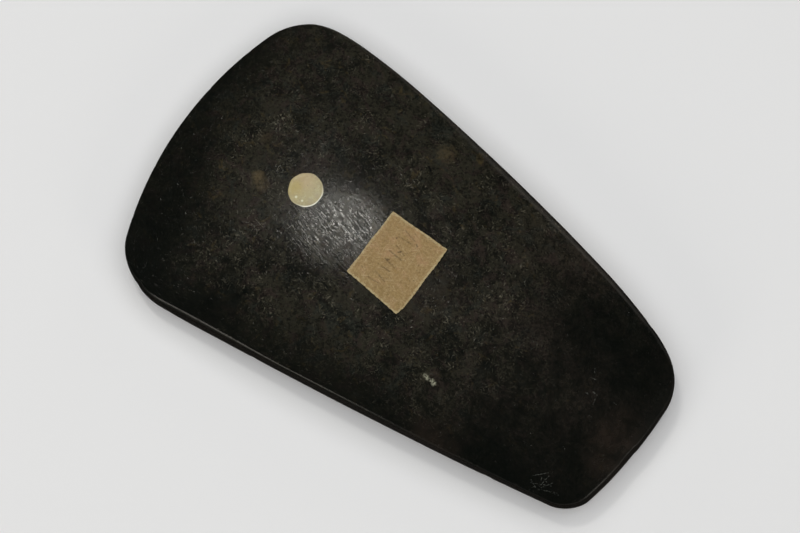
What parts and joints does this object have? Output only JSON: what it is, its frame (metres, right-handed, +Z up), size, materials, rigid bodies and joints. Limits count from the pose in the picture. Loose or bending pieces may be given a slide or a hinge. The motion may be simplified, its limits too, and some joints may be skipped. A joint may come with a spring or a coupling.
{
  "type": "stone adze",
  "caption": "Broad polished stone adze blade with a curved cutting edge, ground side facets and a narrow butt, with a round sticker and a paper label on its domed face",
  "frame": {"origin": "middle of the blade's box in plan, level with the flat of the underside that it lies on", "axes": "+X along the blade to the cutting edge, +Y to the straighter long side, +Z up out of the domed face"},
  "size_m": [0.1997, 0.1187, 0.0285],
  "materials": {
    "stone": "satin",
    "sticker": "satin",
    "label": "matte"
  },
  "bodies": {
    "root": {"stone_blade": "stone", "round_sticker": "sticker", "paper_label": "label"}
  },
  "joints": []
}
